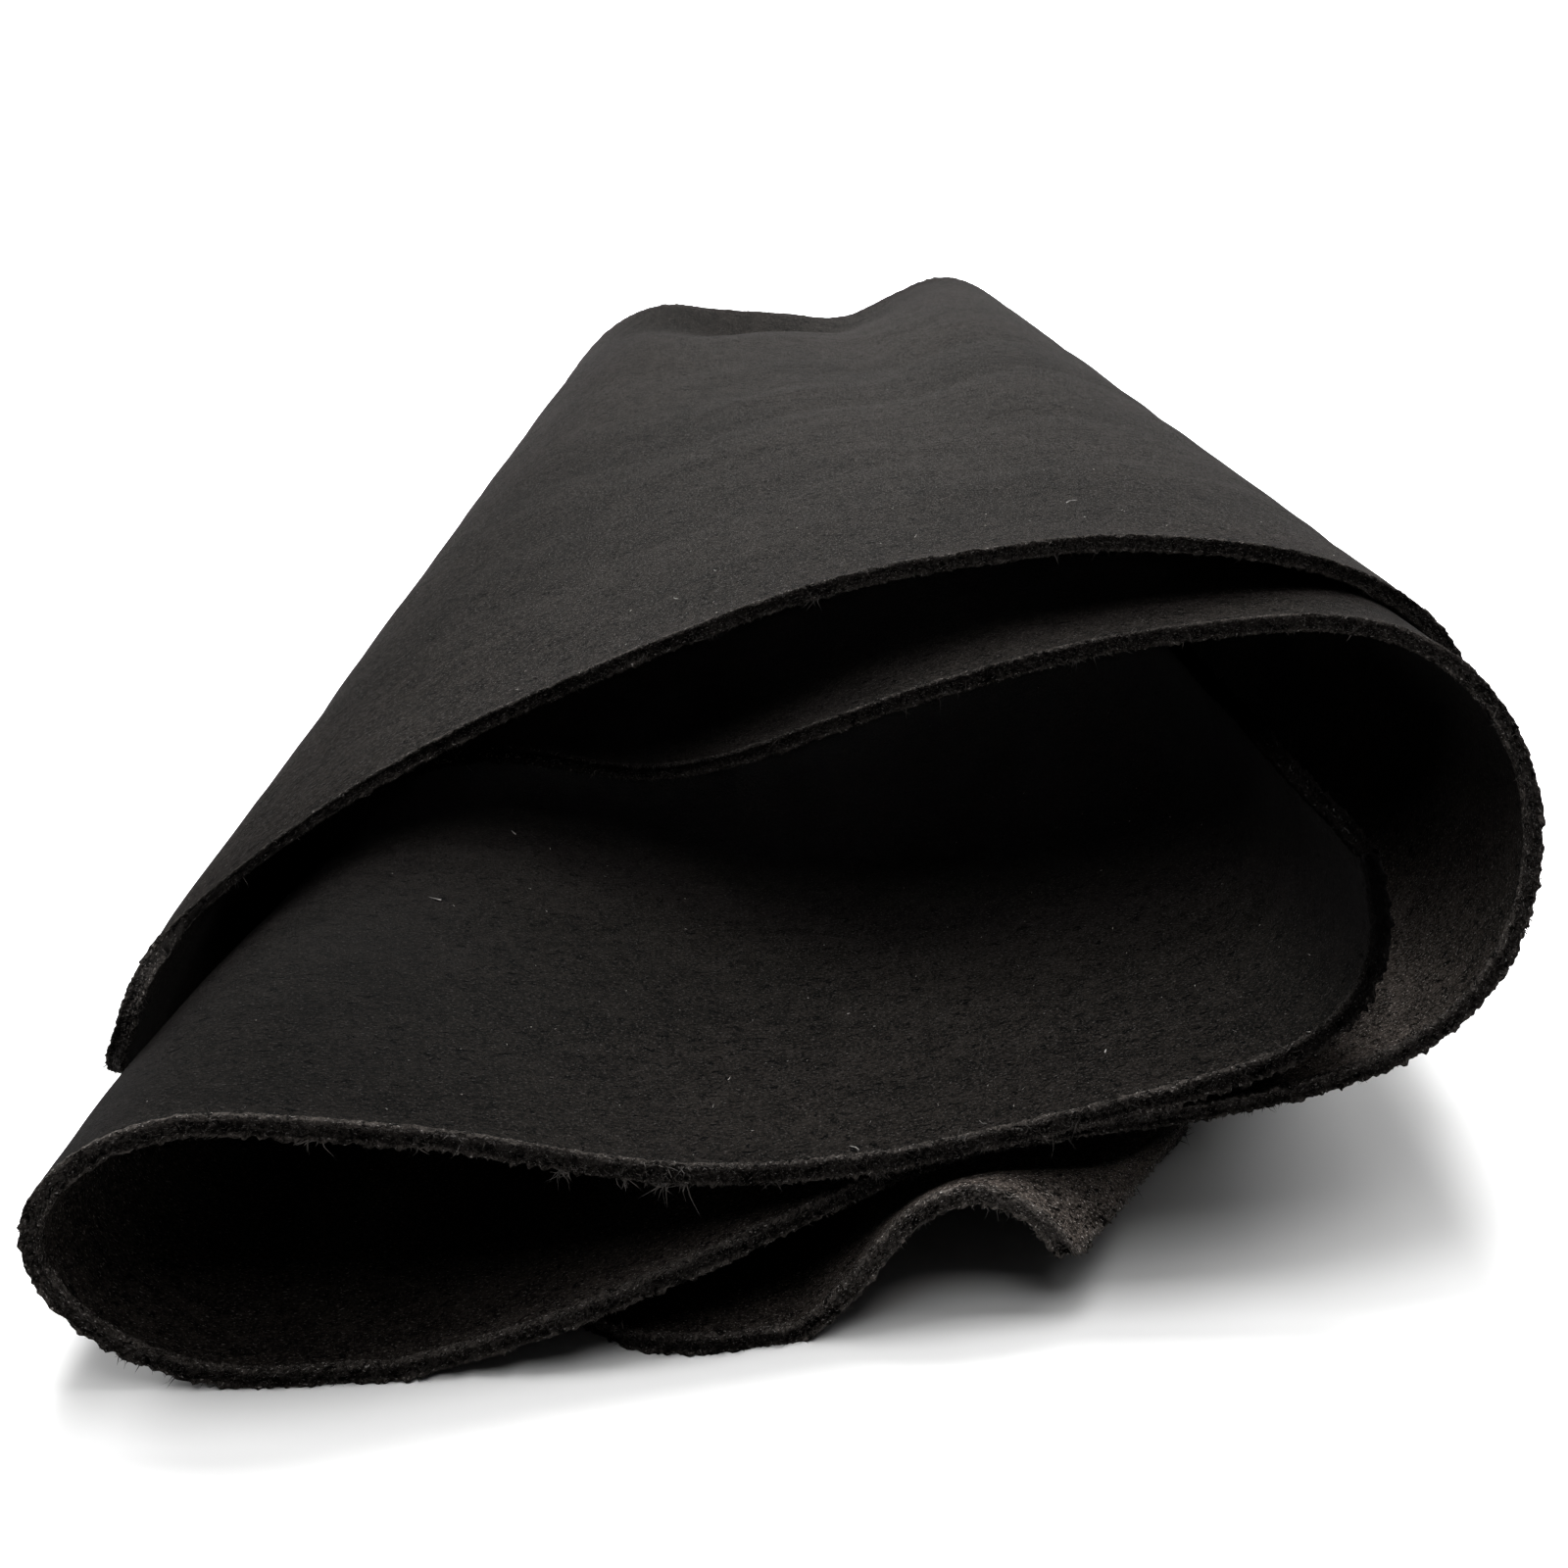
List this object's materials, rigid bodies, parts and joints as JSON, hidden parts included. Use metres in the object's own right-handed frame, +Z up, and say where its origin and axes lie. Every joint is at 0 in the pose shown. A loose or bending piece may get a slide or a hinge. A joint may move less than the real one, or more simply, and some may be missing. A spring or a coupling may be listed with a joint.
{
  "type": "leather hide",
  "caption": "Cut of dark suede leather rolled loosely and pressed flat, lying on a surface, open along its roll, with raw cut edges and one buckled free corner.",
  "frame": {"origin": "middle of the underside's box, on the level surface that the hide lies on", "axes": "+X to the right and +Y away from the viewer who looks into the near end of the roll, along the roll; +Z up"},
  "size_m": [0.1284, 0.3366, 0.0594],
  "materials": {
    "suede": "matt napped suede on both faces, dark charcoal brown"
  },
  "bodies": {
    "root": {"hide": "suede"}
  },
  "joints": []
}
